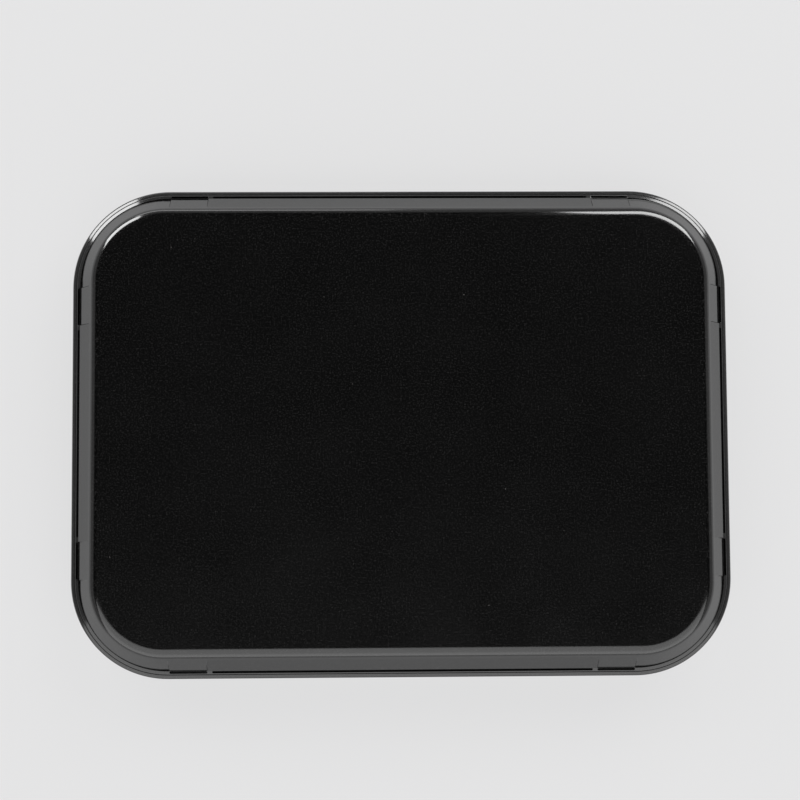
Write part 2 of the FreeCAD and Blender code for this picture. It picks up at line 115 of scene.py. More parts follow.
def outline_face(bm, inset, height, columns):
    """Make one flat face with the palette's outline and extra points at the columns along its sides."""
    bmesh.ops.create_grid(bm, x_segments=1, y_segments=1, size=1)
    bmesh.ops.scale(bm, vec=(HALF_LENGTH - inset, HALF_WIDTH - inset, 1), verts=bm.verts)
    bmesh.ops.translate(bm, vec=(0, 0, height), verts=bm.verts)
    bmesh.ops.bevel(
        bm, geom=bm.verts[:], offset=CORNER_RADIUS - inset, offset_type="OFFSET",
        segments=CORNER_STEPS, profile=0.5, affect="VERTICES", material=-1,
    )
    for normal, places in zip((LENGTHWISE, CROSSWISE), columns):
        for place in places:
            for side in (-1, 1):
                cut_across(bm, side * place * normal, normal)
        seams = [edge for edge in bm.edges if not edge.is_boundary]
        bmesh.ops.dissolve_edges(bm, edges=seams, use_verts=False)
    return bm.faces[:][0]


def outline_plate(inset, bottom, top, columns=((), ())):
    """Make a closed plate with the palette's outline. Give the bmesh, its top face and its bottom face."""
    bm = bmesh.new()
    face = outline_face(bm, inset, bottom, columns)
    lifted = bmesh.ops.extrude_face_region(bm, geom=[face])["geom"]
    corners = [item for item in lifted if isinstance(item, bmesh.types.BMVert)]
    bmesh.ops.translate(bm, vec=(0, 0, top - bottom), verts=corners)
    bmesh.ops.recalc_face_normals(bm, faces=bm.faces)
    upper = max(bm.faces, key=lambda one: one.normal.z)
    lower = min(bm.faces, key=lambda one: one.normal.z)
    return bm, upper, lower


print("outline", round(2 * HALF_LENGTH / MM), "by", round(2 * HALF_WIDTH / MM), "mm")

# %% [markdown]
# ## Rings and steps
# A moulding is the plate with its top and bottom drawn inwards by Inset, ring after ring. Later steps
# round some of the rings or raise single faces between them. Edges could be remembered by number, but
# numbers change with every cut. So a ring is found again by where it lies: its inset from the lid's
# edge and its height.

# %% Rings
# A point this close to a ring or a height counts as on it.
NEAR = 0.03 * MM


def past_corner(point):
    """Tell how far a point lies past the middle of its round corner, along and across the palette."""
    return abs(point.x) - HALF_LENGTH + CORNER_RADIUS, abs(point.y) - HALF_WIDTH + CORNER_RADIUS


def inset_of(point):
    """Tell how far a point lies inside the lid's edge, seen from above."""
    along, across = past_corner(point)
    if along > 0 and across > 0:
        return CORNER_RADIUS - math.hypot(along, across)
    return CORNER_RADIUS - max(along, across)


def inset_faces(bm, faces, inwards, depth):
    """Draw the edge of some faces inwards and move the faces along their normals."""
    bmesh.ops.inset_region(
        bm, faces=faces, thickness=inwards, depth=depth, use_boundary=True, use_even_offset=True,
    )


def draw_in(bm, face, start, path):
    """Draw a level face inwards through (inset, height) points and leave a wall behind it."""
    inset, height = start
    for next_inset, next_height in path:
        inset_faces(bm, [face], next_inset - inset, (next_height - height) * face.normal.z)
        inset, height = next_inset, next_height


def bevel_edges(bm, edges, size, segments, clamp=False):
    """Bevel edges to a round profile, with the editor's settings in place of the operator's defaults."""
    bmesh.ops.bevel(
        bm, geom=edges, offset=size, offset_type="OFFSET", segments=segments, profile=0.5,
        affect="EDGES", material=-1, clamp_overlap=clamp,
    )


def round_ring(bm, inset, height, radius, segments):
    """Round the ring of edges at an inset and a height to a radius."""
    def on_ring(corner):
        return abs(corner.co.z - height) < NEAR and abs(inset_of(corner.co) - inset) < NEAR
    edges = [edge for edge in bm.edges if on_ring(edge.verts[0]) and on_ring(edge.verts[1])]
    turn = edges[0].calc_face_angle()
    bevel_edges(bm, edges, radius * math.tan(turn / 2), segments)


def level_faces(bm, height, outer, inner):
    """Pick the faces whose middles lie at a height and between two insets."""
    picked = []
    for face in bm.faces:
        middle = face.calc_center_median()
        if abs(middle.z - height) < NEAR and outer < inset_of(middle) < inner:
            picked.append(face)
    return picked


print("a point within", NEAR / MM, "mm of a ring counts as on it")

# %% [markdown]
# ## From bmesh to piece
# A moulded part is smooth over its rounded edges and crisp along its steps. Smooth shading alone would
# bend the light on the large flat faces. So edges that turn sharply are marked, and a Weighted Normal
# modifier lets the large faces keep their own direction, which is what a glossy black surface needs.

# %% Piece
CRISP_ANGLE = math.radians(26)
MERGE_DISTANCE = 0.002 * MM


def piece_from(bm, name):
    """Turn a bmesh into an object at the origin, smooth except along its crisp edges."""
    bmesh.ops.remove_doubles(bm, verts=bm.verts, dist=MERGE_DISTANCE)
    bmesh.ops.recalc_face_normals(bm, faces=bm.faces)
    for face in bm.faces:
        face.smooth = True
    for edge in bm.edges:
        edge.smooth = edge.calc_face_angle(0) < CRISP_ANGLE
    open_edges = sum(not edge.is_manifold for edge in bm.edges)
    mesh = bpy.data.meshes.new(name)
    bm.to_mesh(mesh)
    bm.free()
    piece = bpy.data.objects.new(name, mesh)
    scene.collection.objects.link(piece)
    normals = piece.modifiers.new("weighted_normals", "WEIGHTED_NORMAL")
    normals.keep_sharp = True
    print(name, "faces", len(mesh.polygons), "open edges", open_edges)
    return piece


print("edges are crisp from", round(math.degrees(CRISP_ANGLE)), "degrees")

# %% [markdown]
# ## The lid: rim, crown and hollow
# The lid is a thin moulding. Its rim has a face that slopes outwards and a bead with a sloping face of
# its own. The crown has sloping walls and a large rounding round its top, and the hollow underneath has
# a step for the soft ring. It could be lofted or cut with booleans, but those leave triangles that show
# in the gloss. Insets give clean rings of four-sided faces, and Bevel rounds them.

# %% Rim profile
# The rim's face, lip and width are measured inwards from the lid's outer edge.
LID_FOOT = lid_low.z
LID_TOP = lid_high.z
RIM_HEIGHT = 3 * MM
RIM_WIDTH = 3.5 * MM
RIM_FACE = 1.45 * MM
RIM_LIP = 1.65 * MM
RIM_STEEPNESS = math.radians(62)
BEAD_WIDTH = 1.3 * MM
BEAD_STEP = 0.4 * MM
SLOT_WIDTH = 0.85 * MM

RIM_SLOPE = 1 / math.tan(RIM_STEEPNESS)
RIM_TOP = LID_FOOT + RIM_HEIGHT
BEAD_INSIDE = RIM_LIP + BEAD_WIDTH
SLOT_OUTSIDE = BEAD_INSIDE - SLOT_WIDTH
SLOT_CREST = RIM_TOP - SLOT_WIDTH * RIM_SLOPE
BEAD_SHOULDER = RIM_TOP - BEAD_WIDTH * RIM_SLOPE
RIM_SHOULDER = BEAD_SHOULDER - BEAD_STEP
RIM_SIDE = RIM_SHOULDER - RIM_FACE * RIM_SLOPE
print("upright part of the rim", round((RIM_SIDE - LID_FOOT) / MM, 2), "mm")

# %% Stops along the sides
WINDOW_LENGTH = 13.5 * MM
WINDOW_SETBACK = 0.5 * MM
WINDOW_BRIDGE = 1.8 * MM
STEP_RUN = 0.2 * MM


def rim_stops(half_side):
    """Give the places along a side where its groove ends and its window starts and ends."""
    window_end = half_side - CORNER_RADIUS - WINDOW_SETBACK
    window_start = window_end - WINDOW_LENGTH
    return window_start - WINDOW_BRIDGE, window_start, window_end


def lid_columns(stops):
    """Add a second column beside each end of a wedge, so that its end is a small step."""
    groove_end, window_start, window_end = stops
    return groove_end, window_start - STEP_RUN, window_start, window_end, window_end + STEP_RUN


LONG_STOPS = rim_stops(HALF_LENGTH)
SHORT_STOPS = rim_stops(HALF_WIDTH)
print("stops along a long side in mm:", [round(stop / MM, 1) for stop in LONG_STOPS])

# %% Lid shell
CROWN_DRAFT = math.radians(32)
CROWN_ROUNDING = 4.5 * MM
CROWN_TIGHTER = 1 * MM
WEDGE_RISE = 5.6 * MM
LID_THICKNESS = 1.8 * MM
TOP_THICKNESS = 2 * MM
REBATE_LEDGE = 0.5 * MM
REBATE_DEPTH = 1.6 * MM
CEILING_ROUNDING = 2.6 * MM
RIM_ROUNDING = 1.2 * MM
BEAD_ROUNDING = 0.5 * MM
SEAM_ROUNDING = 0.3 * MM


def wall_inset(height):
    """Give the inset of the crown's outer wall at a height."""
    return RIM_WIDTH + (height - RIM_TOP) * math.tan(CROWN_DRAFT)


def tighten_corners(bm):
    """Push the crown's corners outwards, as if each were drawn with a smaller radius."""
    for point in bm.verts:
        if point.co.z < RIM_TOP - NEAR or inset_of(point.co) < RIM_WIDTH - NEAR:
            continue
        along, across = past_corner(point.co)
        if along > 0 and across > 0:
            reach = math.hypot(along, across)
            point.co.x += math.copysign(CROWN_TIGHTER * (1 - along / reach), point.co.x)
            point.co.y += math.copysign(CROWN_TIGHTER * (1 - across / reach), point.co.y)


def lid_shell():
    """Draw the lid's rim, crown, step and hollow, and round its edges."""
    columns = (lid_columns(LONG_STOPS), lid_columns(SHORT_STOPS))
    bm, upper, lower = outline_plate(0, LID_FOOT, RIM_SIDE, columns)
    wedge_top = RIM_TOP + WEDGE_RISE
    crown_edge = wall_inset(LID_TOP)
    draw_in(bm, upper, (0, RIM_SIDE), (
        (RIM_FACE, RIM_SHOULDER), (RIM_LIP, RIM_SHOULDER), (RIM_LIP, BEAD_SHOULDER),
        (SLOT_OUTSIDE, SLOT_CREST), (BEAD_INSIDE, RIM_TOP), (RIM_WIDTH, RIM_TOP),
        (wall_inset(wedge_top), wedge_top), (crown_edge, LID_TOP),
    ))
    round_ring(bm, crown_edge, LID_TOP, CROWN_ROUNDING, segments=12)
    tighten_corners(bm)
    wall = LID_THICKNESS / math.cos(CROWN_DRAFT)
    ceiling = LID_TOP - TOP_THICKNESS
    hollow_edge = wall_inset(ceiling) + wall
    rebate = BEAD_INSIDE + REBATE_LEDGE
    rebate_top = LID_FOOT + REBATE_DEPTH
    draw_in(bm, lower, (0, LID_FOOT), (
        (SLOT_OUTSIDE, LID_FOOT), (BEAD_INSIDE, LID_FOOT), (rebate, LID_FOOT), (rebate, rebate_top),
        (wall_inset(rebate_top) + wall, rebate_top), (hollow_edge, ceiling),
    ))
    round_ring(bm, hollow_edge, ceiling, CEILING_ROUNDING, segments=6)
    round_ring(bm, 0, RIM_SIDE, RIM_ROUNDING, segments=6)
    round_ring(bm, RIM_LIP, BEAD_SHOULDER, BEAD_ROUNDING, segments=5)
    round_ring(bm, 0, LID_FOOT, SEAM_ROUNDING, segments=4)
    return bm


lid = lid_shell()
print("lid shell faces", len(lid.faces))

# %% [markdown]
# ## The lid: grooves, windows and wedges
# The bead runs round the whole rim. Along each side a narrow groove is sunk behind its crest, and
# between the groove and each corner there is a window for one of the tray's tongues. Behind them the
# wall is thickened at its foot by flat wedges, whose ends show as small steps. The columns of points on
# the outline make all of these a matter of moving, sinking and bridging single faces, with no booleans.

# %% Stretches of the rim
def place_on_side(point):
    """Tell which stops hold where a point of the rim is, and how far it is from its side's middle."""
    if HALF_WIDTH - abs(point.y) < HALF_LENGTH - abs(point.x):
        return LONG_STOPS, abs(point.x)
    return SHORT_STOPS, abs(point.y)


def rim_zone(face):
    """Name the stretch of rim that a face belongs to."""
    stops, along = place_on_side(face.calc_center_median())
    for name, end in zip(("groove", "bridge", "window"), stops):
        if along < end:
            return name
    return "corner"


slot_faces = level_faces(lid, (SLOT_CREST + RIM_TOP) / 2, SLOT_OUTSIDE, BEAD_INSIDE)
under_windows = [
    face for face in level_faces(lid, LID_FOOT, SLOT_OUTSIDE, BEAD_INSIDE) if rim_zone(face) == "window"
]
zones = {}
for face in slot_faces:
    zones.setdefault(rim_zone(face), []).append(face)
print("rim faces", {name: len(faces) for name, faces in zones.items()})

# %% Wedges
WINDOW_WEDGE = 0.25 * MM
GROOVE_WEDGE = RIM_WIDTH - BEAD_INSIDE


def swell_walls(bm):
    """Move the foot of the crown's walls outwards behind the grooves and windows. Give the points moved."""
    moved = 0
    for corner in bm.verts:
        at_foot = abs(corner.co.z - RIM_TOP) < NEAR and abs(inset_of(corner.co) - RIM_WIDTH) < NEAR
        if not at_foot:
            continue
        stops, along = place_on_side(corner.co)
        _, window_start, window_end = stops
        if along > window_end + NEAR:
            continue
        swell = GROOVE_WEDGE if along < window_start - NEAR else WINDOW_WEDGE
        if stops is LONG_STOPS:
            corner.co.y += math.copysign(swell, corner.co.y)
        else:
            corner.co.x += math.copysign(swell, corner.co.x)
        moved += 1
    return moved


print("points moved for the wedges", swell_walls(lid))

# %% Windows and grooves
GROOVE_DEPTH = 1.25 * MM
SLOT_CORNER = 0.35 * MM
SLOT_EDGE = 0.15 * MM
# A face whose normal rises less than this stands upright.
UPRIGHT = 0.1


def open_between(bm, upper, lower):
    """Open a hole from one face through to another. Give the edges that join the two openings."""
    around = list(upper.edges) + list(lower.edges)
    bmesh.ops.delete(bm, geom=[upper, lower], context="FACES_ONLY")
    return bmesh.ops.bridge_loops(bm, edges=around)["edges"]


def sink_groove(bm, face):
    """Sink a long groove to a level floor. Give the upright edges at its corners."""
    inset_faces(bm, [face], 0, 0)
    uprights = []
    for corner in face.verts:
        corner.co.z = RIM_TOP - GROOVE_DEPTH
        uprights += [edge for edge in corner.link_edges if face not in edge.link_faces]
    return uprights


def window_rims(bm):
    """Pick the upper edges round the windows."""
    picked = []
    for edge in bm.edges:
        middle = (edge.verts[0].co + edge.verts[1].co) / 2
        inset = inset_of(middle)
        above = middle.z - RIM_TOP + (BEAD_INSIDE - inset) * RIM_SLOPE
        in_slot = SLOT_OUTSIDE - NEAR < inset < BEAD_INSIDE + NEAR
        if not in_slot or abs(above) >= SLOT_CORNER / 2:
            continue
        stops, along = place_on_side(middle)
        _, window_start, window_end = stops
        beside_upright = min(abs(face.normal.z) for face in edge.link_faces) < UPRIGHT
        if beside_upright and window_start - NEAR < along < window_end + NEAR:
            picked.append(edge)
    return picked


uprights = []
for upper in zones["window"]:
    middle = upper.calc_center_median()
    lower = min(under_windows, key=lambda one: (one.calc_center_median() - middle).length)
    under_windows.remove(lower)
    uprights += open_between(lid, upper, lower)
for face in zones["groove"]:
    uprights += sink_groove(lid, face)
bevel_edges(lid, uprights, SLOT_CORNER, segments=4)
bevel_edges(lid, window_rims(lid), SLOT_EDGE, segments=4, clamp=True)

lid_piece = piece_from(lid, "lid_shell")
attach(lid_piece, "lid_body")
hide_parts("lid")

# %% [markdown]
# ## The tray
# The tray hangs below the lid: a rim of nearly the same outline, sloping walls, a rounded sole and,
# inside the rim, a raised sealing lip round the well. It could be cut from a block with booleans, but
# drawn from its rim, as the lid was, it keeps clean rings of faces. Eight thin tongues stand on the rim
# in the lid's windows, and each is one face of the rim, raised.

# %% Tray shell
tray_low, tray_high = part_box("tray")
TRAY_GAP = 0.3 * MM
TRAY_RIM = 3 * MM
TRAY_DRAFT = math.radians(15)
TRAY_THICKNESS = 2.2 * MM
SOLE_THICKNESS = 2.4 * MM
LIP_HEIGHT = 1.4 * MM
LIP_OUTSIDE = 5.2 * MM
LIP_WIDTH = 1.2 * MM
SOLE_ROUNDING = 6 * MM
WELL_ROUNDING = 4 * MM
SHOULDER_ROUNDING = 0.7 * MM
LIP_ROUNDING = 0.3 * MM
TONGUE_ROOM = 0.2 * MM
TONGUE_EDGE = 0.12 * MM

TRAY_EDGE = HALF_LENGTH - tray_high.x
TRAY_SOLE = tray_low.z
TRAY_TOP = LID_FOOT - TRAY_GAP
TRAY_SHOULDER = TRAY_TOP - TRAY_RIM
LIP_TOP = TRAY_TOP + LIP_HEIGHT
WELL_MOUTH = LIP_OUTSIDE + LIP_WIDTH
WELL_FLOOR = TRAY_SOLE + SOLE_THICKNESS


def well_inset(height):
    """Give the inset of the well's wall at a height."""
    return WELL_MOUTH + (LIP_TOP - height) * math.tan(TRAY_DRAFT)


def raise_tongues(bm, outside, inside):
    """Raise the eight faces of the tray's rim that stand under the lid's windows."""
    tongues = []
    for face in level_faces(bm, TRAY_TOP, outside, inside):
        longest = max(edge.calc_length() for edge in face.edges)
        if rim_zone(face) == "window" and longest > WINDOW_LENGTH / 2:
            tongues.append(face)
    inset_faces(bm, tongues, 0, 0)
    corners = [corner for face in tongues for corner in face.verts]
    bmesh.ops.translate(bm, vec=(0, 0, tray_high.z - TRAY_TOP), verts=corners)
    edges = [edge for face in tongues for edge in face.edges]
    bevel_edges(bm, edges, TONGUE_EDGE, segments=4, clamp=True)
    print("tongues", len(tongues))


def tray_shell():
    """Draw the tray's rim, bowl, lip, well and tongues."""
    columns = []
    for _, window_start, window_end in (LONG_STOPS, SHORT_STOPS):
        columns.append((window_start + TONGUE_ROOM, window_end - TONGUE_ROOM))
    bm, upper, lower = outline_plate(TRAY_EDGE, TRAY_SHOULDER, TRAY_TOP, columns)
    tongue_outside = SLOT_OUTSIDE + TONGUE_ROOM
    tongue_inside = BEAD_INSIDE - TONGUE_ROOM
    well_edge = well_inset(WELL_FLOOR)
    draw_in(bm, upper, (TRAY_EDGE, TRAY_TOP), (
        (tongue_outside, TRAY_TOP), (tongue_inside, TRAY_TOP), (LIP_OUTSIDE, TRAY_TOP),
        (LIP_OUTSIDE, LIP_TOP), (WELL_MOUTH, LIP_TOP), (well_edge, WELL_FLOOR),
    ))
    wall = TRAY_THICKNESS / math.cos(TRAY_DRAFT)
    waist = well_inset(TRAY_SHOULDER) - wall
    sole = well_inset(TRAY_SOLE) - wall
    draw_in(bm, lower, (TRAY_EDGE, TRAY_SHOULDER), ((waist, TRAY_SHOULDER), (sole, TRAY_SOLE)))
    round_ring(bm, sole, TRAY_SOLE, SOLE_ROUNDING, segments=10)
    round_ring(bm, well_edge, WELL_FLOOR, WELL_ROUNDING, segments=8)
    round_ring(bm, TRAY_EDGE, TRAY_SHOULDER, SHOULDER_ROUNDING, segments=5)
    round_ring(bm, TRAY_EDGE, TRAY_TOP, SEAM_ROUNDING, segments=4)
    round_ring(bm, LIP_OUTSIDE, LIP_TOP, LIP_ROUNDING, segments=4)
    round_ring(bm, WELL_MOUTH, LIP_TOP, LIP_ROUNDING, segments=4)
    raise_tongues(bm, tongue_outside, tongue_inside)
    return bm


tray_piece = piece_from(tray_shell(), "tray_shell")

# %% [markdown]
# ## Recesses for the feet
# Four rubber feet sit in round recesses in the tray's sole. The sole is one large flat face, and insets
# can't put four circles into it. So these alone are cut by a Boolean modifier, which is applied at
# once.

# %% Foot recesses
FEET = sorted(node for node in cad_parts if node.startswith("foot_"))
FOOT_ROOM = 0.15 * MM
DISC_SIDES = 64


def add_disc(bm, middle, radius, depth):
    """Add a flat upright disc round a middle point."""
    bmesh.ops.create_cone(
        bm, cap_ends=True, segments=DISC_SIDES, radius1=radius, radius2=radius, depth=depth,
        matrix=Matrix.Translation(middle),
    )


def cut_foot_recesses(piece):
    """Sink a round recess into the tray's sole for each rubber foot."""
    bm = bmesh.new()
    for foot in FEET:
        low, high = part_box(foot)
        middle = (low + high) / 2
        radius = high.x - middle.x + FOOT_ROOM
        middle.z = TRAY_SOLE
        add_disc(bm, middle, radius, 2 * (high.z - TRAY_SOLE))
    mesh = bpy.data.meshes.new("foot_cutter")
    bm.to_mesh(mesh)
    bm.free()
    cutter = bpy.data.objects.new("foot_cutter", mesh)
    scene.collection.objects.link(cutter)
    cut = piece.modifiers.new("foot_recesses", "BOOLEAN")
    cut.operation = "DIFFERENCE"
    cut.solver = "EXACT"
    cut.object = cutter
    piece.modifiers.move(len(piece.modifiers) - 1, 0)
    with bpy.context.temp_override(object=piece, active_object=piece):
        bpy.ops.object.modifier_apply(modifier=cut.name)
    bpy.data.objects.remove(cutter)
    bpy.data.meshes.remove(mesh)


cut_foot_recesses(tray_piece)
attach(tray_piece, "tray_body")
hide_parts("tray")
print("tray faces after the recesses", len(tray_piece.data.polygons))

# %% [markdown]
# ## The soft ring
# A ring of silicone lies on the tray's rim outside the sealing lip, and the lid presses on it. A curve
# with a bevel would give a tube, but this ring has a flat foot and a rounded top. So a plate gets its
# middle taken out, the two openings are bridged, and Bevel rounds the edges.

# %% Soft ring
ring_low, ring_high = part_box("seal_ring")
RING_OUTSIDE = HALF_LENGTH - ring_high.x
RING_WIDTH = 1.4 * MM
RING_INSIDE = RING_OUTSIDE + RING_WIDTH
RING_ROUNDING = 0.6 * MM
RING_FOOT_ROUNDING = 0.2 * MM


def soft_ring():
    """Make the sealing ring that lies on the tray's rim."""
    bm, upper, lower = outline_plate(RING_OUTSIDE, ring_low.z, ring_high.z)
    draw_in(bm, upper, (RING_OUTSIDE, ring_high.z), ((RING_INSIDE, ring_high.z),))
    draw_in(bm, lower, (RING_OUTSIDE, ring_low.z), ((RING_INSIDE, ring_low.z),))
    open_between(bm, upper, lower)
    for inset in (RING_OUTSIDE, RING_INSIDE):
        round_ring(bm, inset, ring_high.z, RING_ROUNDING, segments=6)
        round_ring(bm, inset, ring_low.z, RING_FOOT_ROUNDING, segments=2)
    return bm


ring_piece = piece_from(soft_ring(), "sealing_ring")
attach(ring_piece, "tray_body")
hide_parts("seal_ring")

# %% [markdown]
# ## The feet
# Four rubber feet are glued into the recesses. On a plain cylinder nothing would show from below, so
# each foot gets a rounded edge and two grip grooves, drawn by the same inset and sink that shape a
# turned part.

# %% Feet
FOOT_ROUNDING = 0.6 * MM
GRIP_COUNT = 2
GRIP_SPACING = 1.1 * MM
GRIP_WIDTH = 0.7 * MM
GRIP_DEPTH = 0.35 * MM
GRIP_FLANK = 0.15 * MM
GRIP_FLOOR = GRIP_WIDTH - 2 * GRIP_FLANK


def foot_sole(bm):
    """Pick the lowest face of a foot."""
    return min(bm.faces, key=lambda face: face.calc_center_median().z)


def rubber_foot(node):
    """Make a rubber foot with a rounded edge and grip grooves in its sole."""
    low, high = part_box(node)
    middle = (low + high) / 2
    bm = bmesh.new()
    add_disc(bm, middle, high.x - middle.x, high.z - low.z)
    bevel_edges(bm, list(foot_sole(bm).edges), FOOT_ROUNDING, segments=5)
    sole = foot_sole(bm)
    for _ in range(GRIP_COUNT):
        inset_faces(bm, [sole], GRIP_SPACING, 0)
        inset_faces(bm, [sole], GRIP_FLANK, -GRIP_DEPTH)
        inset_faces(bm, [sole], GRIP_FLOOR, 0)
        inset_faces(bm, [sole], GRIP_FLANK, GRIP_DEPTH)
    return bm


foot_pieces = []
for node in FEET:
    foot_piece = piece_from(rubber_foot(node), f"rubber_{node}")
    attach(foot_piece, "tray_body")
    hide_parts(node)
    foot_pieces.append(foot_piece)

# %% [markdown]
# ## The sponge
# The sponge is a slab of open foam, cut to the well's outline, soft at its edges and never quite even.
# A plain slab would look like board. The slab's edges are rounded, a voxel Remesh gives it an even skin
# of small faces, and two Displace modifiers press in its hollows and pores. They only press inwards, so
# the sheet stays clear.

# %% Sponge
foam_low, foam_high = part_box("hydration_foam")
FOAM_INSET = HALF_LENGTH - foam_high.x
FOAM_ROUNDING = 1.1 * MM
FOAM_VOXEL = 1.1 * MM
HOLLOW_SIZE = 16 * MM
HOLLOW_DEPTH = 0.25 * MM
PORE_SIZE = 3.2 * MM
PORE_DEPTH = 0.45 * MM
# With its middle level at white, a Displace modifier can only press inwards.
INWARDS_ONLY = 1


def press_in(piece, name, kind, size, depth):
    """Press a procedural pattern into a piece with a Displace modifier."""
    pattern = bpy.data.textures.new(name, kind)
    pattern.noise_scale = size
    press = piece.modifiers.new(name, "DISPLACE")
    press.texture = pattern
    press.texture_coords = "LOCAL"
    press.mid_level = INWARDS_ONLY
    press.strength = depth


def sponge():
    """Make the damp sponge that fills the well's floor."""
    bm, _, _ = outline_plate(FOAM_INSET, foam_low.z, foam_high.z)
    for height in (foam_low.z, foam_high.z):
        round_ring(bm, FOAM_INSET, height, FOAM_ROUNDING, segments=4)
    piece = piece_from(bm, "damp_sponge")
    piece.modifiers.clear()
    skin = piece.modifiers.new("skin", "REMESH")
    skin.mode = "VOXEL"
    skin.voxel_size = FOAM_VOXEL
    skin.use_smooth_shade = True
    press_in(piece, "hollows", "CLOUDS", HOLLOW_SIZE, HOLLOW_DEPTH)
    press_in(piece, "pores", "STUCCI", PORE_SIZE, PORE_DEPTH)
    return piece


sponge_piece = sponge()
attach(sponge_piece, "sponge_body")
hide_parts("hydration_foam")

# %% [markdown]
# ## The painting sheet
# The sheet is thin parchment-like paper that clings to the sponge, with slight cockles where it has
# taken up water. Cloth simulation would give folds that damp paper doesn't have. A fine grid is trimmed
# to the round corners by a fan of straight cuts, lifted by smooth noise, and given its thickness by
# Solidify.

# %% Painting sheet
sheet_low, sheet_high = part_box("membrane_sheet")
SHEET_LENGTH = 2 * sheet_high.x
SHEET_WIDTH = 2 * sheet_high.y
SHEET_THICKNESS = sheet_high.z - sheet_low.z
SHEET_CORNER = CORNER_RADIUS - (HALF_LENGTH - sheet_high.x)
SHEET_CELL = 2.5 * MM
CORNER_CUTS = 12
COCKLE_SIZE = 34 * MM
COCKLE_HEIGHT = 0.35 * MM


def trim_corner(bm, side_x, side_y):
    """Round one corner of the sheet by a fan of straight cuts."""
    middle_x = side_x * (SHEET_LENGTH / 2 - SHEET_CORNER)
    middle_y = side_y * (SHEET_WIDTH / 2 - SHEET_CORNER)
    for cut in range(1, CORNER_CUTS):
        angle = math.pi / 2 * cut / CORNER_CUTS
        outwards = Vector((side_x * math.cos(angle), side_y * math.sin(angle), 0))
        place = Vector((middle_x, middle_y, 0)) + SHEET_CORNER * outwards
        cut_across(bm, place, outwards, clear_outer=True)


def painting_sheet():
    """Make the painting sheet with its cockles."""
    bm = bmesh.new()
    rows = round(SHEET_WIDTH / SHEET_CELL)
    bmesh.ops.create_grid(bm, x_segments=round(SHEET_LENGTH / SHEET_CELL), y_segments=rows, size=0.5)
    bmesh.ops.scale(bm, vec=(SHEET_LENGTH, SHEET_WIDTH, 1), verts=bm.verts)
    for side_x in (-1, 1):
        for side_y in (-1, 1):
            trim_corner(bm, side_x, side_y)
    for point in bm.verts:
        lift = 0.5 + 0.5 * noise.noise(point.co / COCKLE_SIZE)
        point.co.z = sheet_low.z + COCKLE_HEIGHT * lift
    piece = piece_from(bm, "painting_sheet")
    piece.modifiers.clear()
    thickness = piece.modifiers.new("thickness", "SOLIDIFY")
    thickness.thickness = SHEET_THICKNESS
    thickness.offset = 1
    return piece


sheet_piece = painting_sheet()
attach(sheet_piece, "sheet_body")
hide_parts("membrane_sheet")

# %% [markdown]
# ## Tools for finishes
# A finish is a small network of nodes. Adding nodes and links one call at a time is long to read, so a
# few helpers keep it short. Patterns read Object coordinates, because each piece sits at the origin in
# real size, and a scale is then simply one over the size of the pattern's grain.

# %% Nodes
def start_finish(name):
    """Start a material. Give it with its node tree and its shader."""
    material = bpy.data.materials.new(name)
    material.use_nodes = True
    return material, material.node_tree, material.node_tree.nodes["Principled BSDF"]


def add_node(tree, kind, links=(), values=(), **settings):
    """Add a node, set it up, fill its sockets and link sockets into it."""
    node = tree.nodes.new(kind)
    for name, value in settings.items():
        setattr(node, name, value)
    for socket, value in values:
        node.inputs[socket].default_value = value
    for socket, source in links:
        tree.links.new(source, node.inputs[socket])
    return node


def object_places(tree):
    """Give the place on the piece, in metres."""
    return add_node(tree, "ShaderNodeTexCoord").outputs["Object"]


def combine(tree, operation, first, second):
    """Join two values by arithmetic. Either may be a plain number."""
    node = add_node(tree, "ShaderNodeMath", operation=operation)
    for socket, item in zip(node.inputs, (first, second)):
        if isinstance(item, (int, float)):
            socket.default_value = item
        else:
            tree.links.new(item, socket)
    return node.outputs["Value"]


def spread(tree, source, span, result=(0, 1)):
    """Stretch a span of a pattern's values over a new range, and hold the range's ends outside the span."""
    limits = zip(("From Min", "From Max", "To Min", "To Max"), (*span, *result))
    node = add_node(tree, "ShaderNodeMapRange", links=[("Value", source)], values=limits)
    return node.outputs["Result"]


print("node helpers ready")

# %% Patterns
SPECK_CORE = 0.5
# A Mix node has sockets for numbers, vectors and colours. These are its factor and its colours.
MIX_FACTOR = 0
MIX_PLAIN = 6
MIX_OTHER = 7
MIX_COLOUR = 2


def grain(tree, places, size, detail):
    """Give soft random grain of a size, from 0 to 1."""
    values = [("Scale", 1 / size), ("Detail", detail)]
    return add_node(tree, "ShaderNodeTexNoise", links=[("Vector", places)], values=values).outputs["Fac"]


def cells(tree, places, size):
    """Split space into random cells. Give the distance from a cell's middle and its random colour."""
    node = add_node(tree, "ShaderNodeTexVoronoi", links=[("Vector", places)], values=[("Scale", 1 / size)])
    return node.outputs["Distance"], node.outputs["Color"]


def specks(tree, places, spacing, radius, share):
    """Scatter round specks, one to a cell of a spacing, in a share of the cells."""
    distance, colour = cells(tree, places, spacing)
    dots = spread(tree, distance, (SPECK_CORE * radius / spacing, radius / spacing), (1, 0))
    chance = add_node(tree, "ShaderNodeSeparateColor", links=[("Color", colour)]).outputs["Red"]
    return combine(tree, "MULTIPLY", dots, combine(tree, "LESS_THAN", chance, share))


def mixed_colour(tree, factor, plain, other):
    """Mix from a plain colour to another one by a pattern. The plain one may itself be a pattern."""
    node = add_node(tree, "ShaderNodeMix", links=[(MIX_FACTOR, factor)], data_type="RGBA")
    if isinstance(plain, tuple):
        node.inputs[MIX_PLAIN].default_value = (*plain, 1)
    else:
        tree.links.new(plain, node.inputs[MIX_PLAIN])
    node.inputs[MIX_OTHER].default_value = (*other, 1)
    return node.outputs[MIX_COLOUR]


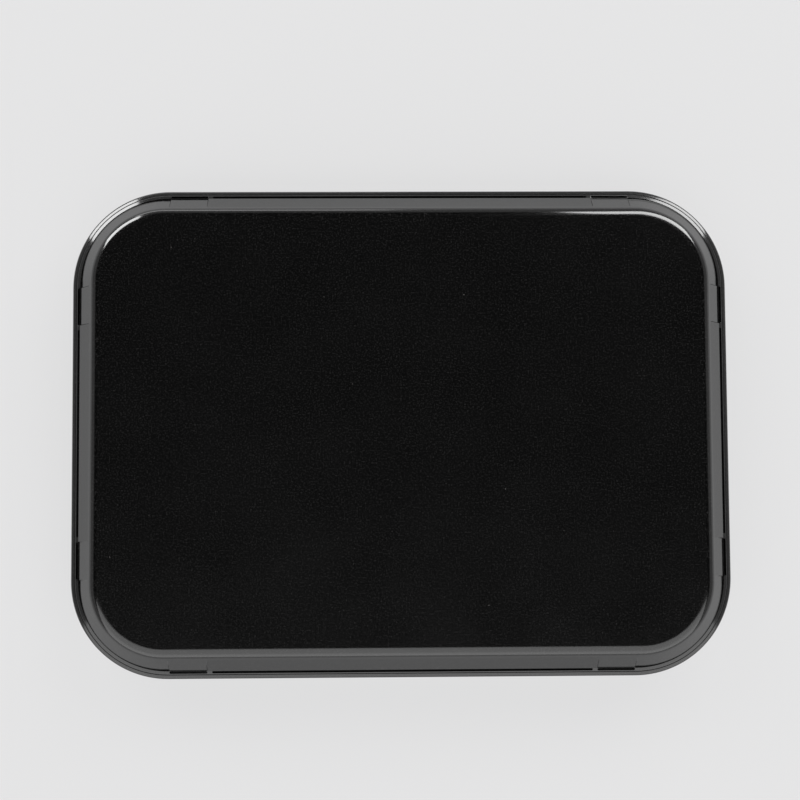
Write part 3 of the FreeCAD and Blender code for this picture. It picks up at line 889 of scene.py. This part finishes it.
def relief(tree, shader, height, depth):
    """Use a pattern as relief of a real depth on the shader's surface."""
    bump = add_node(tree, "ShaderNodeBump", links=[("Height", height)], values=[("Distance", depth)])
    tree.links.new(bump.outputs["Normal"], shader.inputs["Normal"])


print("pattern helpers ready")

# %% [markdown]
# ## Black plastic
# The mouldings are black and glossy, but the lid's flat top has a faint satin grain from the mould,
# with dust on it and soft handling marks. A mirror-smooth black would look like glass. So the roughness
# varies with the place, the top gets its grain as fine relief, and a faint mottle and pale specks of
# dust break the black.

# %% Black plastic
PLASTIC = (0.0009, 0.0009, 0.0009)
PLASTIC_GRAIN = (0.0255, 0.025, 0.025)
PLASTIC_IOR = 1.64
TOP_HEIGHTS = (LID_TOP - 0.3 * MM, LID_TOP - 0.05 * MM)
SATIN_SIZE = 0.5 * MM
SATIN_SPAN = (0.53, 0.75)
MARK_SIZE = 26 * MM
MARK_SPAN = (0.35, 0.7)
MARK_ROUGHNESS = (0.1, 0.12)
TOP_MARK_SPAN = (0.3, 0.7)
TOP_EXTRA_ROUGHNESS = (0.09, 0.11)
DUST = (0.22, 0.21, 0.2)
LARGE_DUST = {"spacing": 7 * MM, "radius": 0.16 * MM, "share": 0.5}
FINE_DUST = {"spacing": 2.6 * MM, "radius": 0.07 * MM, "share": 0.4}
WAVE_SIZE = 30 * MM
WAVE_SHARE = 0.12
SATIN_SHARE = 0.012
PLASTIC_RELIEF = 0.1 * MM


def black_plastic():
    """Make the glossy black plastic of the lid and the tray."""
    material, tree, shader = start_finish("black_plastic")
    shader.inputs["IOR"].default_value = PLASTIC_IOR
    places = object_places(tree)
    height = add_node(tree, "ShaderNodeSeparateXYZ", links=[("Vector", places)]).outputs["Z"]
    on_top = spread(tree, height, TOP_HEIGHTS)

    marks = grain(tree, places, MARK_SIZE, detail=4)
    gloss = spread(tree, marks, MARK_SPAN, MARK_ROUGHNESS)
    top_gloss = spread(tree, marks, TOP_MARK_SPAN, TOP_EXTRA_ROUGHNESS)
    roughness = combine(tree, "ADD", gloss, combine(tree, "MULTIPLY", top_gloss, on_top))
    tree.links.new(roughness, shader.inputs["Roughness"])

    satin = grain(tree, places, SATIN_SIZE, detail=3)
    black = mixed_colour(tree, spread(tree, satin, SATIN_SPAN), PLASTIC, PLASTIC_GRAIN)
    large_dust = specks(tree, places, **LARGE_DUST)
    fine_dust = specks(tree, places, **FINE_DUST)
    dust = combine(tree, "MAXIMUM", large_dust, fine_dust)
    tree.links.new(mixed_colour(tree, dust, black, DUST), shader.inputs["Base Color"])

    waves = combine(tree, "MULTIPLY", grain(tree, places, WAVE_SIZE, detail=1), WAVE_SHARE)
    top_grain = combine(tree, "MULTIPLY", combine(tree, "MULTIPLY", satin, on_top), SATIN_SHARE)
    relief(tree, shader, combine(tree, "ADD", top_grain, waves), PLASTIC_RELIEF)
    return material


plastic = black_plastic()
for piece in (lid_piece, tray_piece):
    piece.data.materials.append(plastic)
print("plastic nodes", len(plastic.node_tree.nodes))

# %% [markdown]
# ## Silicone and rubber
# The soft ring and the feet are matte and dark and pick up lint. Each could have a network of its own,
# but both are the same one with other numbers: fine relief, uneven roughness and pale specks.

# %% Silicone and rubber
SILICONE = (0.05, 0.05, 0.052)
SILICONE_ROUGHNESS = (0.37, 0.55)
SILICONE_GRAIN = 0.5 * MM
RUBBER = (0.03, 0.03, 0.03)
RUBBER_ROUGHNESS = (0.62, 0.8)
RUBBER_GRAIN = 0.25 * MM
RUBBER_PATCH = 6 * MM
RUBBER_PATCH_SPAN = (0.3, 0.7)
RUBBER_RELIEF = 0.02 * MM
LINT = {"spacing": 2.2 * MM, "radius": 0.06 * MM, "share": 0.35}


def soft_rubber(name, colour, roughness, grain_size):
    """Make a matte rubber with a fine skin and some lint on it."""
    material, tree, shader = start_finish(name)
    places = object_places(tree)
    lint = specks(tree, places, **LINT)
    tree.links.new(mixed_colour(tree, lint, colour, DUST), shader.inputs["Base Color"])
    patches = grain(tree, places, RUBBER_PATCH, detail=3)
    uneven = spread(tree, patches, RUBBER_PATCH_SPAN, roughness)
    tree.links.new(uneven, shader.inputs["Roughness"])
    relief(tree, shader, grain(tree, places, grain_size, detail=3), RUBBER_RELIEF)
    return material


silicone = soft_rubber("silicone", SILICONE, SILICONE_ROUGHNESS, SILICONE_GRAIN)
ring_piece.data.materials.append(silicone)
rubber = soft_rubber("rubber", RUBBER, RUBBER_ROUGHNESS, RUBBER_GRAIN)
for piece in foot_pieces:
    piece.data.materials.append(rubber)
print("silicone on the ring, rubber on", len(foot_pieces), "feet")

# %% [markdown]
# ## Damp sponge
# The foam is pale and full of fine pores of two sizes, and darker where it holds more water. The larger
# pores are in its shape already. The fine ones could be modelled too, but so many holes would make the
# mesh very heavy. So they are Voronoi cells, whose middles are sunk by relief. Pore middles of both
# sizes are darkened as painted shade.

# %% Damp sponge finish
FOAM = (0.62, 0.62, 0.58)
FOAM_PAINTED_SHADE = (0.3, 0.3, 0.27)
# The dark colour of the pore middles is painted shade in the holes.
FOAM_DAMP = (0.5, 0.5, 0.46)
FOAM_ROUGHNESS = (0.8, 0.5)
FOAM_RELIEF = 0.3 * MM
FINE_PORE = 0.9 * MM
FINE_PORE_SPAN = (0.1, 0.55)
FINE_PORE_SHARE = 0.7
COARSE_PORE = 2.3 * MM
COARSE_PORE_SPAN = (0.1, 0.4)
DAMP_SIZE = 22 * MM
DAMP_SPAN = (0.4, 0.62)


def damp_foam():
    """Make the pale, porous, damp foam of the sponge, with painted shade in its pores."""
    material, tree, shader = start_finish("damp_foam")
    places = object_places(tree)
    fine, _ = cells(tree, places, FINE_PORE)
    coarse, _ = cells(tree, places, COARSE_PORE)
    # Darkening the pore middles is painted shade; the same mask sinks them by relief.
    fine_pores_and_shade = combine(tree, "MULTIPLY", spread(tree, fine, FINE_PORE_SPAN, (1, 0)), FINE_PORE_SHARE)
    pores = combine(tree, "MAXIMUM", fine_pores_and_shade, spread(tree, coarse, COARSE_PORE_SPAN, (1, 0)))
    damp = spread(tree, grain(tree, places, DAMP_SIZE, detail=3), DAMP_SPAN)
    ground = mixed_colour(tree, damp, FOAM, FOAM_DAMP)
    tree.links.new(mixed_colour(tree, pores, ground, FOAM_PAINTED_SHADE), shader.inputs["Base Color"])
    tree.links.new(spread(tree, damp, (0, 1), FOAM_ROUGHNESS), shader.inputs["Roughness"])
    relief(tree, shader, combine(tree, "SUBTRACT", 1, pores), FOAM_RELIEF)
    return material


foam = damp_foam()
sponge_piece.data.materials.append(foam)
print("foam nodes", len(foam.node_tree.nodes))

# %% [markdown]
# ## Parchment-like sheet
# The painting sheet is off-white and slightly uneven, like baking parchment: long soft fibres in two
# directions and a few cloudy patches where it is wetter. A drawn weave would look like cloth. Stretched
# noise gives the fibres.

# %% Painting sheet finish
PAPER = (0.8, 0.78, 0.72)
PAPER_WET = (0.68, 0.665, 0.61)
PAPER_ROUGHNESS = (0.6, 0.38)
PAPER_RELIEF = 0.03 * MM
FIBRE_TURNS = (0.5, -0.9)
FIBRE_STRETCH = (0.12, 1, 1)
FIBRE_SIZE = 0.45 * MM
FIBRE_SPAN = (0.7, 1.3)
FIBRE_SHARE = (0.7, 1)
CLOUD_SIZE = 18 * MM
CLOUD_SPAN = (0.38, 0.66)


def parchment():
    """Make the off-white, damp painting sheet."""
    material, tree, shader = start_finish("parchment")
    places = object_places(tree)
    directions = []
    for turn in FIBRE_TURNS:
        values = [("Rotation", (0, 0, turn)), ("Scale", FIBRE_STRETCH)]
        turned = add_node(tree, "ShaderNodeMapping", links=[("Vector", places)], values=values)
        directions.append(grain(tree, turned.outputs["Vector"], FIBRE_SIZE, detail=3))
    fibres = combine(tree, "ADD", *directions)
    clouds = grain(tree, places, CLOUD_SIZE, detail=4)
    patches = spread(tree, clouds, CLOUD_SPAN)
    wet = combine(tree, "MULTIPLY", patches, spread(tree, fibres, FIBRE_SPAN, FIBRE_SHARE))
    tree.links.new(mixed_colour(tree, wet, PAPER, PAPER_WET), shader.inputs["Base Color"])
    tree.links.new(spread(tree, clouds, CLOUD_SPAN, PAPER_ROUGHNESS), shader.inputs["Roughness"])
    relief(tree, shader, fibres, PAPER_RELIEF)
    return material


paper = parchment()
sheet_piece.data.materials.append(paper)
print("paper nodes", len(paper.node_tree.nodes))

# %% [markdown]
# ## The floor
# The photograph has a plain pale ground. A floor made that pale by strong lamps would throw too much
# light on the palette. So the floor's own colour is a light grey, and where the camera or a mirror
# image sees it, most of what shows is an even glow of the ground's brightness. The rest is the lit
# floor itself, which keeps the shadow.

# %% Floor
FLOOR_SIZE = 24.0
FLOOR_COLOUR = (0.6, 0.6, 0.605)
FLOOR_ROUGHNESS = 0.9
FLOOR_SPECULAR = 0.1
FLOOR_GLOW = (0.995, 0.995, 1, 1)
FLOOR_RADIANCE = 0.82
FLOOR_SHARE = 0.8


def pale_paper():
    """Make the floor's material, which glows only where it is seen."""
    material, tree, shader = start_finish("pale_paper")
    shader.inputs["Base Color"].default_value = (*FLOOR_COLOUR, 1)
    shader.inputs["Roughness"].default_value = FLOOR_ROUGHNESS
    shader.inputs["Specular IOR Level"].default_value = FLOOR_SPECULAR
    paths = add_node(tree, "ShaderNodeLightPath").outputs
    seen = combine(tree, "MAXIMUM", paths["Is Camera Ray"], paths["Is Glossy Ray"])
    seen = combine(tree, "MAXIMUM", seen, paths["Is Transmission Ray"])
    share = combine(tree, "MULTIPLY", seen, FLOOR_SHARE)
    values = [("Color", FLOOR_GLOW), ("Strength", FLOOR_RADIANCE)]
    glow = add_node(tree, "ShaderNodeEmission", values=values).outputs["Emission"]
    mix = add_node(tree, "ShaderNodeMixShader", links=enumerate((share, shader.outputs["BSDF"], glow)))
    tree.links.new(mix.outputs["Shader"], tree.nodes["Material Output"].inputs["Surface"])
    return material


def pale_floor():
    """Lay the pale floor that the palette stands on."""
    bm = bmesh.new()
    bmesh.ops.create_grid(bm, x_segments=1, y_segments=1, size=FLOOR_SIZE / 2)
    mesh = bpy.data.meshes.new("floor")
    bm.to_mesh(mesh)
    bm.free()
    floor = bpy.data.objects.new("floor", mesh)
    scene.collection.objects.link(floor)
    mesh.materials.append(pale_paper())


pale_floor()
print("floor", FLOOR_SIZE, "m wide")

# %% [markdown]
# ## The lamps
# On black plastic the light itself is hardly seen. What shows is the mirror image of the lamps and of
# the pale ground in the walls and roundings, so the panels stand where their images should fall. Large
# panels alone would whiten the lid's top in other views. So two fills light only matte surfaces, and
# two small cards close to the far corners only show as mirror images, in the roundings there.

# %% Light panels
PALETTE_MIDDLE = Vector((0, 0, 20 * MM))
LEFT_CORNER = Vector((-102 * MM, 74 * MM, 28 * MM))
RIGHT_CORNER = Vector((102 * MM, 74 * MM, 28 * MM))


def light_panel(name, azimuth, elevation, distance, size, radiance, roll=0, facing=PALETTE_MIDDLE):
    """Stand a soft rectangular light round a point, facing it. A radiance of 1 would look white."""
    data = bpy.data.lights.new(name, "AREA")
    data.shape = "RECTANGLE"
    data.size, data.size_y = size
    data.energy = radiance * size[0] * size[1] * math.pi
    lamp = bpy.data.objects.new(name, data)
    turn = math.radians(azimuth)
    rise = math.radians(elevation)
    level = math.cos(rise)
    away = Vector((level * math.cos(turn), level * math.sin(turn), math.sin(rise)))
    turned = away.to_track_quat("Z", "Y").to_matrix() @ Matrix.Rotation(math.radians(roll), 3, "Z")
    lamp.matrix_world = Matrix.Translation(facing + distance * away) @ turned.to_4x4()
    lamp.visible_camera = False
    scene.collection.objects.link(lamp)
    return lamp


light_panel("near_panel", azimuth=-90, elevation=37, distance=1.35, size=(4.0, 1.9), radiance=1.6)
light_panel("far_panel", azimuth=104, elevation=4, distance=1.5, size=(0.8, 0.24), radiance=2.2)
fills = [
    light_panel("far_left_fill", azimuth=132, elevation=32, distance=1.7, size=(1.2, 0.8), radiance=3.6),
    light_panel("far_right_fill", azimuth=56, elevation=32, distance=1.7, size=(1.6, 1.0), radiance=3.9),
]
for fill in fills:
    fill.visible_glossy = False
cards = [
    light_panel(
        "left_card", azimuth=129.3, elevation=20.5, distance=0.2, size=(0.12, 0.077), radiance=11.0,
        roll=-14, facing=LEFT_CORNER,
    ),
    light_panel(
        "right_card", azimuth=62.5, elevation=27.5, distance=0.2, size=(0.21, 0.085), radiance=9.0,
        roll=30, facing=RIGHT_CORNER,
    ),
]
for card in cards:
    card.visible_diffuse = False

# %% [markdown]
# ## The sky
# A studio has pale walls and a dark ceiling. One even sky would be simpler, but the lid's top mirrors
# what is straight above it and would turn grey. So the world is light near the horizon and nearly dark
# overhead.

# %% World
SKY_TURN = (0.38, 0.55)
SKY_STRENGTH = (0.42, 0.025)

world = bpy.data.worlds.new("studio")
world.use_nodes = True
scene.world = world
sky = world.node_tree
direction = add_node(sky, "ShaderNodeTexCoord").outputs["Generated"]
rise = add_node(sky, "ShaderNodeSeparateXYZ", links=[("Vector", direction)]).outputs["Z"]
background = sky.nodes["Background"]
background.inputs["Color"].default_value = (1, 1, 1, 1)
sky.links.new(spread(sky, rise, SKY_TURN, SKY_STRENGTH), background.inputs["Strength"])

scene.view_settings.view_transform = "Standard"
print("sky strength", SKY_STRENGTH[0], "near the horizon and", SKY_STRENGTH[1], "overhead")
